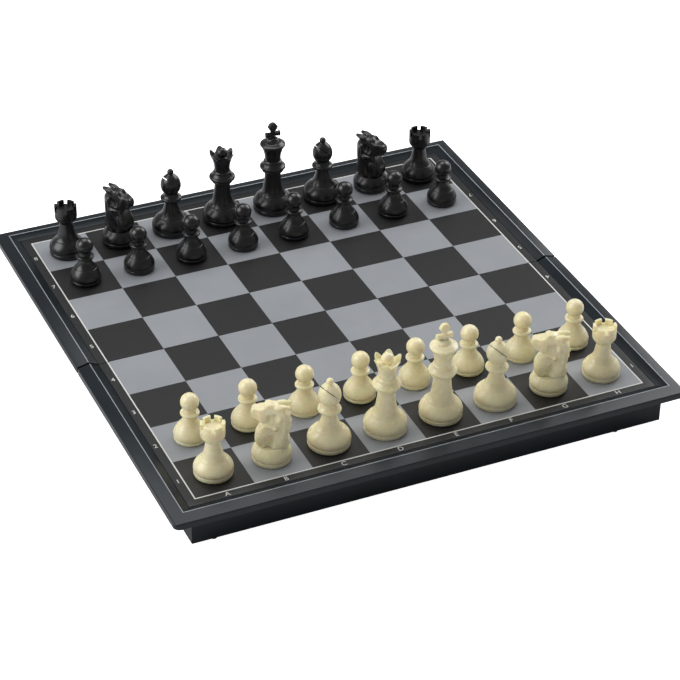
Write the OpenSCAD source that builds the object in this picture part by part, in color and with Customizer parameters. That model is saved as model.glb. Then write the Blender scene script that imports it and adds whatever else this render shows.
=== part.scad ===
// Folding magnetic travel chess set: two hinged half boards and thirty-two chessmen.
// Origin: centre of the open board, on the table. +X runs from file a to file h,
// +Y from the white side to the black side, +Z up. Millimetres.

/* [Board] */
// Side of one square
square_size = 35.2; // [34:0.1:35.4]
// Width of the board along its ranks, flange to flange
board_w = 320; // [318:1:326]
// Depth of one half board, from the seam to its outer edge
half_d = 160.4; // [159.6:0.2:163]
// Height of a half board, from the rim it stands on to the playing surface
half_h = 21; // [18:0.5:26]
// Gap between the two half boards at the playing surface
seam_gap = 1.2; // [0.8:0.1:1.6]
// Distance from the seam's middle to the first line of squares
seam_to_squares = 1.1; // [0.9:0.1:1.4]

/* [Rim and walls] */
// Width of the raised rim, from the flange's edge to the playing panel
rim_w = 12.9; // [12:0.1:14]
// Distance of the rim's crown from the flange's edge
crown_inset = 8.3; // [6:0.1:9]
// Height of the crown above the playing surface
crown_h = 2.3; // [1.5:0.1:3]
// Height of the flange's outer edge above the playing surface
edge_h = 0.6; // [0.2:0.1:1]
// Thickness of the flange and the deck under the playing surface
deck_t = 3.4; // [3:0.1:4]
// Wall thickness
wall_t = 2; // [1.6:0.1:2.6]
// Inset of the side walls from the flange's edge
side_inset = 12; // [10:0.5:13]
// Inset of the end wall from the flange's edge
end_inset = 7; // [5:0.5:9]
// Plan radius of the flange's corners
corner_r = 4; // [2:0.5:6]

/* [Playing surface] */
// Thickness of the printed panel
panel_t = 0.6; // [0.4:0.1:0.8]
// Thickness of the steel sheet under the panel
steel_t = 0.4; // [0.3:0.1:0.6]

/* [Closing pegs] */
// Radius of a closing peg, which is a foot while the board is open
peg_r = 1.9; // [1.6:0.1:2.2]
// Height of a closing peg
peg_h = 1.7; // [1.65:0.05:2]
// Distance of the end pegs from the board's middle: one side
peg_x_far = 134; // [128:1:136]
// Distance of the end pegs from the board's middle: other side
peg_x_near = 119.5; // [112:0.5:122]
// Distance of the seam peg from the seam
seam_peg_y = 14; // [12:1:20]

/* [Hinges] */
// Distance of each hinge from the board's middle
hinge_x = 88; // [60:1:110]
// Width of a hinge
hinge_w = 30; // [25:1:40]
// Radius of the hinge knuckles
knuckle_r = 1.5; // [1.4:0.05:1.5]
// Radius of the hinge pin
pin_r = 0.75; // [0.6:0.05:0.8]
// Thickness of a hinge leaf
leaf_t = 0.7; // [0.5:0.1:0.8]

/* [Chessmen] */
// Height of the king
king_h = 63.2; // [60:0.1:66]
// Base radius of the king and the queen
royal_r = 12.9; // [12:0.1:13.5]
// Base radius of a bishop
bishop_r = 12.7; // [12:0.1:13.5]
// Base radius of a rook and a knight
rook_r = 11.5; // [11:0.1:12.5]
// Base radius of a pawn
pawn_r = 9.8; // [9:0.1:10.5]
// Direction the white knights look, from +X
white_knight_turn = 152; // [0:1:359]
// Direction the black knights look, from +X
black_knight_turn = 298; // [0:1:359]
// Turn of the black queen, which moves the points of the coronet
black_queen_turn = 19; // [0:1:59]

/* [Hidden] */
$fn = 64;
eps = 0.01;
files = ["a", "b", "c", "d", "e", "f", "g", "h"];
back_rank = ["rook", "knight", "bishop", "queen", "king", "bishop", "knight", "rook"];

BOARD_NODES = [
    "front_frame", "rear_frame", "front_steel_sheet", "rear_steel_sheet",
    "front_panel", "rear_panel",
    "left_hinge_front_leaf", "left_hinge_rear_leaf", "left_hinge_pin",
    "right_hinge_front_leaf", "right_hinge_rear_leaf", "right_hinge_pin",
    "front_hinge_rivets", "rear_hinge_rivets"
];
function man_name(colour, kind, file, rank) = str(colour, "_", kind, "_", files[file], rank);
WHITE_NODES = [
    for (i = [0:7]) man_name("white", back_rank[i], i, 1),
    for (i = [0:7]) man_name("white", "pawn", i, 2)
];
BLACK_NODES = [
    for (i = [0:7]) man_name("black", back_rank[i], i, 8),
    for (i = [0:7]) man_name("black", "pawn", i, 7)
];

// heights
rim_z = peg_h;
surface_z = rim_z + half_h;
deck_z = surface_z - deck_t;
seat_z = surface_z - panel_t - steel_t;
hinge_z = rim_z - 0.15;

// plan
half_w = board_w / 2;
seam_y = seam_gap / 2;
outer_y = seam_y + half_d;
panel_gap = 0.2;
panel_w = board_w - 2 * rim_w - 2 * panel_gap;
panel_y0 = seam_y + panel_gap;
panel_y1 = outer_y - rim_w - panel_gap;
seam_wall_y = knuckle_r + 0.1;
side_wall_x = half_w - side_inset;
end_wall_y = outer_y - end_inset;
boss_r = peg_r + 2.1;
socket_r = peg_r + 0.3;
socket_depth = peg_h + 0.6;
end_peg_y = end_wall_y - socket_r - 0.9;
seam_peg_x = side_wall_x - wall_t - boss_r + 0.4;

// hinges
knuckle_count = 5;
knuckle_gap = 0.1;
pin_clearance = 0.05;
knuckle_l = hinge_w / knuckle_count;
leaf_y = seam_wall_y - leaf_t;
leaf_h = 13;
leaf_z = hinge_z + knuckle_r + 0.25;
rivet_r = 1.2;
rivet_hole_r = rivet_r + 0.05;
rivet_x = 9;
rivet_z = leaf_z + 7;

// points along a round arc and along a smooth curve
function arc(cx, cy, r, a0, a1, n) = [
    for (i = [0:n]) let (a = a0 + (a1 - a0) * i / n) [cx + r * cos(a), cy + r * sin(a)]
];
function bend(p0, p1, p2, p3, n) = [
    for (i = [0:n]) let (t = i / n, s = 1 - t)
        s * s * s * p0 + 3 * s * s * t * p1 + 3 * s * t * t * p2 + t * t * t * p3
];

// ---- half boards ----

edge_r = 0.6;
crown_r = 0.9;

// outline of the raised rim across its width, from the flange's edge inward
rim_outline = concat(
    arc(edge_r, edge_h - edge_r, edge_r, 180, 100, 3),
    arc(crown_inset, crown_h - crown_r, crown_r, 100, 90, 1)
);

// extrudes an outline drawn as (distance, height) along X, with the distance along -Y
module along_x(length) {
    translate([-length / 2, 0, 0])
        rotate([90, 0, 90])
            linear_extrude(height = length) children();
}

// everything below the rising side of the rim, for the end edge
module rise_end() {
    slab = [[half_d, crown_h], [half_d, -deck_t], [0, -deck_t]];
    along_x(board_w)
        translate([-outer_y, surface_z]) polygon(concat(rim_outline, slab));
}

// the same for the two side edges
module rise_sides() {
    slab = [[half_w, crown_h], [half_w, -deck_t], [0, -deck_t]];
    translate([0, -seam_y, surface_z])
        rotate([90, 0, 0])
            linear_extrude(height = half_d)
                for (side = [0, 1])
                    mirror([side, 0]) translate([-half_w, 0]) polygon(concat(rim_outline, slab));
}

// the basin inside the rim: sloped sides down to the panel, then straight to the deck
basin_t = panel_t + steel_t;
function basin_outline(reach) = concat(
    [[crown_inset + 0.2, crown_h + eps]],
    arc(crown_inset, crown_h - crown_r, crown_r, 74, 40, 2),
    [[rim_w, 0], [rim_w, -basin_t], [reach, -basin_t], [reach, crown_h + eps]]
);

module basin_end() {
    along_x(board_w)
        translate([-outer_y, surface_z]) polygon(basin_outline(half_d + 1));
}

module basin_sides() {
    translate([0, 1 - seam_y, surface_z])
        rotate([90, 0, 0])
            linear_extrude(height = half_d + 1)
                for (side = [0, 1])
                    mirror([side, 0]) translate([-half_w, 0]) polygon(basin_outline(half_w + 1));
}

// plan outline of a half board, with its two outer corners rounded
module half_plan() {
    translate([-half_w + corner_r, -outer_y]) square([board_w - 2 * corner_r, half_d]);
    translate([-half_w, -outer_y + corner_r]) square([board_w, half_d - corner_r]);
    for (side = [-1, 1])
        translate([side * (half_w - corner_r), -outer_y + corner_r]) circle(r = corner_r);
}

// space that the walls enclose, grown outward from their inner faces
module wall_block(grow) {
    w = 2 * (side_wall_x - wall_t + grow);
    depth = end_wall_y - seam_wall_y - 2 * wall_t + 2 * grow;
    translate([-w / 2, -end_wall_y + wall_t - grow, rim_z]) cube([w, depth, deck_z - rim_z + eps]);
}

// walls below the deck: both sides, the end and the seam
module walls() {
    difference() {
        wall_block(wall_t);
        wall_block(0);
        translate([0, 0, -1]) wall_block(0);
    }
}

module at_pegs() {
    translate([-peg_x_far, -end_peg_y, 0]) children();
    translate([peg_x_near, -end_peg_y, 0]) children();
    translate([-seam_peg_x, -seam_peg_y, 0]) children();
}

module at_sockets() mirror([1, 0, 0]) at_pegs() children();

// one moulding serves for both halves
module half_board() {
    difference() {
        union() {
            difference() {
                intersection() {
                    rise_end();
                    rise_sides();
                    translate([0, 0, deck_z]) linear_extrude(height = deck_t + crown_h + 1) half_plan();
                }
                intersection() {
                    basin_end();
                    basin_sides();
                }
            }
            walls();
            intersection() {
                wall_block(wall_t);
                union() {
                    at_pegs() cylinder(r = boss_r, h = surface_z);
                    at_sockets() cylinder(r = boss_r, h = surface_z);
                }
            }
            at_pegs() cylinder(r = peg_r, h = peg_h + eps);
        }
        at_sockets() translate([0, 0, rim_z - 1]) cylinder(r = socket_r, h = socket_depth + 1);
        rivet_holes(seam_wall_y - 1, wall_t + 2);
    }
}

module rear() rotate([0, 0, 180]) children();

module front_frame() color("#33383e") half_board();
module rear_frame() color("#33383e") rear() half_board();

// a flat sheet in the basin, with square corners
module basin_sheet(clear, z, t) {
    w = panel_w - 2 * clear;
    translate([-w / 2, -panel_y1 + clear, z]) cube([w, panel_y1 - panel_y0 - clear, t]);
}

module front_steel_sheet() color("#8d9195") basin_sheet(1, seat_z, steel_t);
module rear_steel_sheet() color("#8d9195") rear() basin_sheet(1, seat_z, steel_t);
module front_panel() color("#3c3d3f") basin_sheet(0, seat_z + steel_t, panel_t);
module rear_panel() color("#3c3d3f") rear() basin_sheet(0, seat_z + steel_t, panel_t);

// ---- hinges ----

// four rivet places on the front side of the seam
module at_rivets() {
    for (side = [-1, 1], step = [-1, 1])
        translate([side * hinge_x + step * rivet_x, 0, rivet_z]) children();
}

// holes along -Y that start at a distance from the seam
module rivet_holes(start, length) {
    at_rivets() translate([0, -start, 0]) rotate([90, 0, 0]) cylinder(r = rivet_hole_r, h = length);
}

// rivets through the front leaf and the seam wall
module rivets() {
    head_h = 0.5;
    head_r = 2.1;
    tail_h = 0.8;
    tail_r = 1.9;
    at_rivets() rotate([90, 0, 0]) {
        translate([0, 0, leaf_y - head_h]) cylinder(r = head_r, h = head_h);
        translate([0, 0, leaf_y - eps]) cylinder(r = rivet_r, h = leaf_t + wall_t + 2 * eps);
        translate([0, 0, seam_wall_y + wall_t]) cylinder(r = tail_r, h = tail_h);
    }
}

// a leaf with every second knuckle, starting at the first or the second one
module hinge_leaf(first) {
    difference() {
        union() {
            translate([-hinge_w / 2, -leaf_y - leaf_t, leaf_z]) cube([hinge_w, leaf_t, leaf_h]);
            for (i = [first:2:knuckle_count - 1])
                translate([-hinge_w / 2 + i * knuckle_l + knuckle_gap / 2, 0, hinge_z]) {
                    rotate([0, 90, 0]) cylinder(r = knuckle_r, h = knuckle_l - knuckle_gap);
                    translate([0, -knuckle_r, 0])
                        cube([knuckle_l - knuckle_gap, knuckle_r - leaf_y, leaf_z - hinge_z + eps]);
                }
        }
        translate([-hinge_w, 0, hinge_z])
            rotate([0, 90, 0]) cylinder(r = pin_r + pin_clearance, h = 2 * hinge_w);
        for (step = [-1, 1])
            translate([step * rivet_x, 1, rivet_z]) rotate([90, 0, 0]) cylinder(r = rivet_hole_r, h = 5);
    }
}

module hinge_pin() {
    head_l = 0.6;
    head_r = knuckle_r - 0.2;
    translate([0, 0, hinge_z]) rotate([0, 90, 0]) {
        translate([0, 0, -hinge_w / 2]) cylinder(r = pin_r, h = hinge_w);
        for (side = [-1, 1])
            translate([0, 0, side * (hinge_w + head_l) / 2])
                cylinder(r = head_r, h = head_l, center = true);
    }
}

module plated() color("#a9a9a4") children();
module front_hinge_rivets() plated() rivets();
module rear_hinge_rivets() plated() rear() rivets();
module left_hinge_front_leaf() plated() translate([-hinge_x, 0, 0]) hinge_leaf(0);
module right_hinge_front_leaf() plated() translate([hinge_x, 0, 0]) hinge_leaf(0);
module left_hinge_rear_leaf() plated() translate([-hinge_x, 0, 0]) mirror([0, 1, 0]) hinge_leaf(1);
module right_hinge_rear_leaf() plated() translate([hinge_x, 0, 0]) mirror([0, 1, 0]) hinge_leaf(1);
module left_hinge_pin() plated() translate([-hinge_x, 0, 0]) hinge_pin();
module right_hinge_pin() plated() translate([hinge_x, 0, 0]) hinge_pin();

// ---- chessmen: outlines as (radius, height), turned about the axis ----

// lower band, groove and the start of the bell
function foot(r) = concat(
    [[r - 1, 0]],
    bend([r - 1, 0], [r - 0.35, 0.2], [r - 0.25, 0.7], [r - 0.25, 1.4], 3),
    [[r - 0.25, 2.4], [r - 0.85, 2.9], [r - 0.4, 3.4]]
);

// foot, bell and the step that the stem stands on
function bell(r, top_r, top_z) = concat(
    foot(r),
    bend([r - 0.1, 4.1], [r + 0.3, 6.4], [r - 1.1, 8.9], [top_r, top_z], 8),
    [[top_r - 0.45, top_z + 0.3], [top_r - 0.35, top_z + 0.7]]
);

// collars under the head of a king or a queen, on a stem of the given radius
function royal_collars(stem_r) = concat(
    [[stem_r + 0.9, 28.1]],
    arc(stem_r + 1.1, 29.1, 0.75, -60, 60, 3),
    arc(7.1, 31.7, 1.3, -70, 70, 5),
    [[stem_r + 1.1, 34.4]],
    arc(stem_r + 0.3, 35.6, 0.6, -40, 60, 2)
);

module turned(outline) {
    top = outline[len(outline) - 1][1];
    rotate_extrude() polygon(concat([[0, 0]], outline, [[0, top]]));
}

// blind recess for the magnet, and the magnet held in it by a film of glue
module with_magnet(r) {
    magnet_t = 2;
    recess_d = 2.3;
    glue = 0.1;
    difference() {
        children();
        translate([0, 0, -1]) cylinder(r = r + glue, h = 1 + recess_d);
    }
    translate([0, 0, recess_d - magnet_t - glue]) cylinder(r = r, h = magnet_t);
}

module pawn() {
    shoulder = [6.8, 9.2];
    ball_r = 5.4;
    ball_z = 25.1;
    with_magnet(5)
        turned(concat(
            foot(pawn_r),
            bend([pawn_r - 0.1, 4], [pawn_r + 0.3, 5.6], [pawn_r - 1.5, 7.9], shoulder, 8),
            [shoulder + [-0.3, 0.25]],
            bend(shoulder + [-0.35, 0.6], [5.2, 12], [4, 13.8], [3.8, 16.2], 5),
            [[4.4, 16.6]],
            arc(4.6, 17.7, 1, -90, 90, 5),
            [[3.9, 19]],
            arc(0, ball_z, ball_r, -47, 88, 11)
        ));
}

module rook() {
    head_r = 7.05;
    head_z = 34.7;
    bore_r = 5.4;
    floor_z = 31.6;
    gap_w = 2.1;
    gap_turn = 10;
    with_magnet(6)
        difference() {
            turned(concat(
                bell(rook_r, 8.1, 9.8),
                bend([7.7, 10.9], [5.9, 13.6], [4.6, 17], [4.2, 22.2], 6),
                bend([4.2, 22.2], [5, 23.8], [6.9, 24.8], [head_r, 27], 5),
                [[head_r, head_z - 0.5], [head_r - 0.5, head_z]]
            ));
            translate([0, 0, floor_z]) cylinder(r = bore_r, h = 10);
            for (i = [0:2])
                rotate([0, 0, 60 * i + gap_turn])
                    translate([-20, -gap_w / 2, floor_z]) cube([40, gap_w, 10]);
        }
}

module bishop() {
    cut_w = 0.6;
    cut_tilt = 47;
    cut_turn = 14.5;
    cut_through = [-0.9, 0.4, 35.6];
    cut_end = 3.2;
    cut_l = 17.2;
    with_magnet(6)
        difference() {
            turned(concat(
                bell(bishop_r, 8.9, 10.4),
                bend([8.5, 11.5], [6.5, 14.2], [4.5, 17], [3.9, 21.8], 6),
                [[4.7, 22.3]],
                arc(5.7, 24.2, 1.15, -65, 75, 5),
                [[4.9, 26.4], [4.3, 27.8]],
                bend([4.3, 28.2], [6.6, 30.4], [7.6, 34.5], [5.2, 38.4], 8),
                bend([5.2, 38.4], [4, 40], [2.6, 40.8], [1.9, 41.4], 4),
                arc(0, 42.8, 2.1, -35, 88, 6)
            ));
            translate(cut_through)
                rotate([0, cut_tilt, cut_turn])
                    translate([cut_end - cut_l, -10, -cut_w / 2]) cube([cut_l, 20, cut_w]);
        }
}

module queen() {
    stem_r = 4.9;
    tip = [8.3, 49.6];
    points = 6;
    valley_z = 45.9;
    notch = [[0, 0], [2.3, 1.5], [3.5, 4], [3.5, 6], [-3.5, 6], [-3.5, 4], [-2.3, 1.5]];
    ball_r = 3.6;
    ball_z = 48.9;
    with_magnet(6.5)
        difference() {
            turned(concat(
                bell(royal_r, 9.2, 10.4),
                bend([8.8, 11.5], [7.6, 14.5], [6.4, 18], [stem_r, 27.8], 6),
                royal_collars(stem_r),
                bend([stem_r + 0.1, 36.6], [4.9, 40.5], [5.6, 43], [6.5, 45.4], 5),
                [tip, tip - [0.5, 0], [6.6, 47.4], [5.9, valley_z], [4.6, 45.5], [3.4, 45.5]],
                arc(0, ball_z, ball_r, -50, 88, 9)
            ));
            for (i = [0:points - 1])
                rotate([0, 0, 360 / points * (i + 0.5)])
                    translate([5.3, 0, valley_z])
                        rotate([90, 0, 90]) linear_extrude(height = 5) polygon(notch);
        }
}

// cross on the king's crown, seen along Y
module finial_cross() {
    foot_z = 51.4;
    arm_z = 55.2;
    thickness = 2.8;
    arm = [[0, -1.2], [5, -1.9], [5, 1.4], [0, 0.9], [-5, 1.4], [-5, -1.9]];
    post = [
        [-2.6, foot_z], [2.6, foot_z], [1.15, arm_z], [1.5, arm_z + 2.2], [3.3, king_h - 3],
        [2.6, king_h - 1], [1.3, king_h], [-1.3, king_h], [-2.6, king_h - 1],
        [-3.3, king_h - 3], [-1.5, arm_z + 2.2], [-1.15, arm_z]
    ];
    rotate([90, 0, 0])
        linear_extrude(height = thickness, center = true) {
            polygon(post);
            translate([0, arm_z]) polygon(arm);
        }
}

module king() {
    stem_r = 5.1;
    with_magnet(6.5)
        union() {
            turned(concat(
                bell(royal_r, 9.2, 10.4),
                bend([8.8, 11.5], [7.6, 14.5], [6.4, 18], [stem_r, 27.8], 6),
                royal_collars(stem_r),
                bend([stem_r + 0.1, 36.6], [5, 40.5], [6, 43.5], [7.4, 46.6], 5),
                arc(7.3, 47.8, 0.95, -50, 80, 5),
                bend([6.9, 48.9], [6, 49.7], [5.2, 50], [4.4, 50.1], 3),
                [[4, 50.2]],
                bend([3.9, 50.5], [3.8, 51.7], [3.2, 52.5], [1.8, 52.9], 4)
            ));
            finial_cross();
        }
}

// side view of the horse: forward is +X
horse_side = concat(
    bend([9, 10.4], [11.3, 12.8], [11.8, 16.6], [8.2, 21], 6),
    bend([8.2, 21], [6.6, 22.9], [5, 24.4], [3.4, 25.4], 3),
    [[3, 26.3]],
    bend([4.4, 26.9], [7.6, 27], [10.2, 27.4], [11.3, 29.2], 4),
    bend([11.3, 29.2], [12.6, 31], [12.6, 34.6], [10.6, 35.3], 4),
    bend([10.6, 35.3], [7.8, 36.1], [5.2, 34.8], [3.4, 36.6], 5),
    bend([3.4, 36.6], [1.6, 38.6], [0.2, 38.9], [-1.4, 38.8], 4),
    bend([-1.4, 38.8], [-6, 38.4], [-9.6, 35.6], [-10.6, 31.2], 5),
    bend([-10.6, 31.2], [-11.4, 27], [-10.6, 21.6], [-8.8, 17.2], 5),
    bend([-8.8, 17.2], [-10.4, 15.6], [-10.6, 13.4], [-9.6, 10.4], 4)
);

// how wide the horse is at each height, and at each place from tail to muzzle
horse_front = concat(
    bend([6.2, 10.4], [5.4, 14], [4.7, 17], [4.6, 21], 4),
    bend([4.6, 21], [4.8, 26], [5, 31], [4, 35], 4),
    bend([4, 35], [3.4, 37], [2.4, 38.8], [1.2, 39.6], 3)
);
horse_plan = concat(
    [[-11.6, 1.4], [-10, 2.7]],
    bend([-7, 4.9], [-4, 6.2], [0, 6.2], [3, 5.6], 4),
    bend([3, 5.6], [6, 4.7], [7, 3.3], [9.4, 2.8], 4),
    bend([9.4, 2.8], [11.4, 2.8], [12.4, 2.2], [12.6, 0.8], 3)
);

module horse() {
    intersection() {
        rotate([90, 0, 0]) linear_extrude(height = 20, center = true) polygon(horse_side);
        rotate([90, 0, 90]) linear_extrude(height = 40, center = true)
            polygon(concat(horse_front, [
                for (i = [len(horse_front) - 1:-1:0]) [-horse_front[i][0], horse_front[i][1]]
            ]));
        linear_extrude(height = 50)
            polygon(concat(horse_plan, [
                for (i = [len(horse_plan) - 1:-1:0]) [horse_plan[i][0], -horse_plan[i][1]]
            ]));
    }
    for (side = [-1, 1]) ear(side);
}

// ears laid back along the mane
module ear(side) {
    root = [-4.2, 2.5, 36];
    ear_l = 7.2;
    translate([root[0], side * root[1], root[2]])
        rotate([0, -96, 0]) cylinder(r1 = 2, r2 = 0.4, h = ear_l);
}

module knight() {
    with_magnet(6)
        union() {
            turned(concat(
                foot(rook_r),
                bend([rook_r - 0.1, 4.1], [rook_r + 0.3, 6.4], [rook_r - 1.4, 9.2], [8.6, 11], 8)
            ));
            horse();
        }
}

// ---- placing the men ----

module man(kind, knight_turn, queen_turn) {
    if (kind == "rook") rook();
    if (kind == "knight") rotate([0, 0, knight_turn]) knight();
    if (kind == "bishop") bishop();
    if (kind == "queen") rotate([0, 0, queen_turn]) queen();
    if (kind == "king") king();
    if (kind == "pawn") pawn();
}

function file_x(file) = (file - 3.5) * square_size;
function rank_y(rank) = sign(rank - 4.5) * (seam_to_squares + (abs(rank - 4.5)) * square_size);

module on_square(file, rank) translate([file_x(file), rank_y(rank), surface_z]) children();

module white_man(kind, file, rank)
    color("#e8e2c6") on_square(file, rank) man(kind, white_knight_turn, 0);
module black_man(kind, file, rank)
    color("#1b1b1c") on_square(file, rank) man(kind, black_knight_turn, black_queen_turn);

front_frame();
rear_frame();
front_steel_sheet();
rear_steel_sheet();
front_panel();
rear_panel();
left_hinge_front_leaf();
left_hinge_rear_leaf();
left_hinge_pin();
right_hinge_front_leaf();
right_hinge_rear_leaf();
right_hinge_pin();
front_hinge_rivets();
rear_hinge_rivets();
for (i = [0:7]) {
    kind = back_rank[i];
    white_man(kind, i, 1);
    white_man("pawn", i, 2);
    black_man("pawn", i, 7);
    black_man(kind, i, 8);
}
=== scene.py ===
import math

import bmesh
import bpy
from mathutils import Matrix, Vector


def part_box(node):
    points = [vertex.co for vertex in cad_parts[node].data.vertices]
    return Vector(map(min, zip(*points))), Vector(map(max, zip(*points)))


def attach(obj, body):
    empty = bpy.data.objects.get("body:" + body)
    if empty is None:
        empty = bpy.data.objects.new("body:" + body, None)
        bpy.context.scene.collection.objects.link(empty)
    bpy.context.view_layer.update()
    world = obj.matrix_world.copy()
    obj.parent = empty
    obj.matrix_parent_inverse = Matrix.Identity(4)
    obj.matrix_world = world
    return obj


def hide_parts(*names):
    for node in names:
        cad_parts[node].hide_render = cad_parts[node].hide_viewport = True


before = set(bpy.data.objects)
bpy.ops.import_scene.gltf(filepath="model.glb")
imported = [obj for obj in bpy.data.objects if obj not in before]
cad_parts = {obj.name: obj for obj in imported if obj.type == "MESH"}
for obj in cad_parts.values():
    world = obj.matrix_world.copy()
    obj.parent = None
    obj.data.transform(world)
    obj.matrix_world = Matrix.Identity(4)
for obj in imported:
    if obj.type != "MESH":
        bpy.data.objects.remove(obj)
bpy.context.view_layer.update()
mm = 0.001
weld = 0.002 * mm            # points closer than this become one
nearly = 1e-6                # tolerance when coordinates are compared
scene = bpy.context.scene
scene.view_settings.view_transform = "Standard"

# camera
board = {
    "width": 320 * mm,
    "depth": 322 * mm,
    "surface": 22.7 * mm,    # height of the playing surface above the table
    "square": 35.2 * mm,
    "seamToSquares": 1.1 * mm,
    "seam": 0.6 * mm,        # half the gap between the two halves
}
cameraPlace = {
    "heading": -24.878,      # degrees from looking along +Y
    "elevation": 34.389,
    "roll": 1.156,
    "distance": 1.4786,
    "right": 9.1 * mm,       # shift across the line of sight
    "up": -18.0 * mm,
    "lens": 127.75,
    "sensor": 36,
}


def addCamera():
    data = bpy.data.cameras.new("camera")
    data.sensor_width = cameraPlace["sensor"]
    data.lens = cameraPlace["lens"]
    camera = bpy.data.objects.new("camera", data)
    turn = (
        Matrix.Rotation(math.radians(cameraPlace["heading"]), 4, "Z")
        @ Matrix.Rotation(math.radians(90 - cameraPlace["elevation"]), 4, "X")
        @ Matrix.Rotation(math.radians(cameraPlace["roll"]), 4, "Z")
    )
    back = Vector((cameraPlace["right"], cameraPlace["up"], cameraPlace["distance"]))
    centre = Vector((0, 0, board["surface"]))
    camera.matrix_world = Matrix.Translation(centre + turn @ back) @ turn
    scene.collection.objects.link(camera)
    scene.camera = camera


addCamera()
print("camera set")


# materials
def linear(hexColour):
    parts = [int(hexColour[i:i + 2], 16) / 255 for i in (1, 3, 5)]
    return tuple(p / 12.92 if p <= 0.04045 else ((p + 0.055) / 1.055) ** 2.4 for p in parts) + (1,)


def addNode(tree, kind, settings=None, inputs=None):
    node = tree.nodes.new(kind)
    for name, value in (settings or {}).items():
        setattr(node, name, value)
    for name, value in (inputs or {}).items():
        if isinstance(value, bpy.types.NodeSocket):
            tree.links.new(value, node.inputs[name])
        else:
            node.inputs[name].default_value = value
    return node


def newMaterial(name, settings=None):
    material = bpy.data.materials.new(name)
    material.use_nodes = True
    shader = material.node_tree.nodes["Principled BSDF"]
    for setting, value in (settings or {}).items():
        shader.inputs[setting].default_value = value
    return material, material.node_tree, shader


def mottled(tree, size, darker, lighter, low=0.35, high=0.65, detail=3):
    # a soft blotchy change of colour, with the blotches' size in metres
    place = addNode(tree, "ShaderNodeTexCoord").outputs["Object"]
    blotches = addNode(tree, "ShaderNodeTexNoise", inputs={
        "Vector": place, "Scale": 1 / size, "Detail": detail, "Roughness": 0.55})
    ramp = addNode(tree, "ShaderNodeValToRGB", inputs={"Fac": blotches.outputs["Fac"]})
    ramp.color_ramp.elements[0].position = low
    ramp.color_ramp.elements[0].color = linear(darker)
    ramp.color_ramp.elements[1].position = high
    ramp.color_ramp.elements[1].color = linear(lighter)
    return ramp.outputs["Color"]


def grain(tree, shader, size, height, roughLow, roughHigh, detail=4):
    # fine surface texture: bump and a matching change of roughness, size and height in metres
    place = addNode(tree, "ShaderNodeTexCoord").outputs["Object"]
    spots = addNode(tree, "ShaderNodeTexNoise", inputs={
        "Vector": place, "Scale": 1 / size, "Detail": detail, "Roughness": 0.6})
    rough = addNode(tree, "ShaderNodeMapRange", inputs={
        "Value": spots.outputs["Fac"], "From Min": 0.3, "From Max": 0.7,
        "To Min": roughLow, "To Max": roughHigh})
    bump = addNode(tree, "ShaderNodeBump", inputs={
        "Height": spots.outputs["Fac"], "Strength": 1, "Distance": height})
    tree.links.new(rough.outputs["Result"], shader.inputs["Roughness"])
    tree.links.new(bump.outputs["Normal"], shader.inputs["Normal"])


def edgeTone(tree, colour, hollowShade, low, high):
    # the colour, going over to a darker painted shade colour inside grooves, where shade falls
    shape = addNode(tree, "ShaderNodeNewGeometry")
    depth = addNode(tree, "ShaderNodeMapRange", inputs={
        "Value": shape.outputs["Pointiness"], "From Min": low, "From Max": high})
    mix = addNode(tree, "ShaderNodeMix", {"data_type": "RGBA"}, {"Factor": depth.outputs["Result"]})
    mix.inputs["A"].default_value = linear(hollowShade)
    tree.links.new(colour, mix.inputs["B"])
    return mix.outputs["Result"]


def charcoalAbs():
    # ABS moulded in a lightly spark-eroded tool: a bluish charcoal with a soft satin sheen
    settings = {"IOR": 1.53, "Specular IOR Level": 0.24}
    material, tree, shader = newMaterial("charcoal_abs_satin", settings)
    colour = mottled(tree, 18 * mm, "#171d22", "#1b2228")
    tree.links.new(colour, shader.inputs["Base Color"])
    grain(tree, shader, size=0.5 * mm, height=0.004 * mm, roughLow=0.27, roughHigh=0.35)
    return material


def polishedAbs():
    # the rim's crown: a painted highlight, a thin pale line round the board where the rounded crown
    # catches the light
    material, tree, shader = newMaterial("charcoal_abs_painted_highlight")
    colour = mottled(tree, 18 * mm, "#9298a0", "#9ca2aa")
    tree.links.new(colour, shader.inputs["Base Color"])
    grain(tree, shader, size=0.5 * mm, height=0.001 * mm, roughLow=0.2, roughHigh=0.26)
    return material


def printedSheet(name, darker, lighter, roughLow, roughHigh):
    # screen-printed PVC sheet: even ink with a faint orange-peel skin
    material, tree, shader = newMaterial(name, {"IOR": 1.5, "Specular IOR Level": 0.42})
    colour = mottled(tree, 45 * mm, darker, lighter)
    tree.links.new(colour, shader.inputs["Base Color"])
    grain(tree, shader, 0.8 * mm, 0.004 * mm, roughLow, roughHigh)
    return material


def ivoryPolystyrene():
    # polystyrene moulded in a polished tool: glossy ivory that lets a little light in
    settings = {
        "IOR": 1.59,
        "Subsurface Weight": 0.6,
        "Subsurface Radius": (1.0, 0.75, 0.35),
        "Subsurface Scale": 3.5 * mm,
    }
    material, tree, shader = newMaterial("ivory_polystyrene_gloss", settings)
    colour = mottled(tree, 9 * mm, "#ece2b9", "#efe6c0")
    # painted shade: grooves and creases of the men turn darker and yellower
    colour = edgeTone(tree, colour, hollowShade="#d6ca9b", low=0.42, high=0.49)
    tree.links.new(colour, shader.inputs["Base Color"])
    grain(tree, shader, size=3 * mm, height=0.0015 * mm, roughLow=0.24, roughHigh=0.3, detail=1)
    return material


def blackPolystyrene():
    # the same mouldings in black: deep gloss with faint sink marks from the tool
    material, tree, shader = newMaterial("black_polystyrene_gloss", {"IOR": 1.59})
    colour = mottled(tree, 9 * mm, "#0b0b0d", "#0d0d0f")
    tree.links.new(colour, shader.inputs["Base Color"])
    grain(tree, shader, size=3 * mm, height=0.0005 * mm, roughLow=0.29, roughHigh=0.31, detail=1)
    return material


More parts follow.
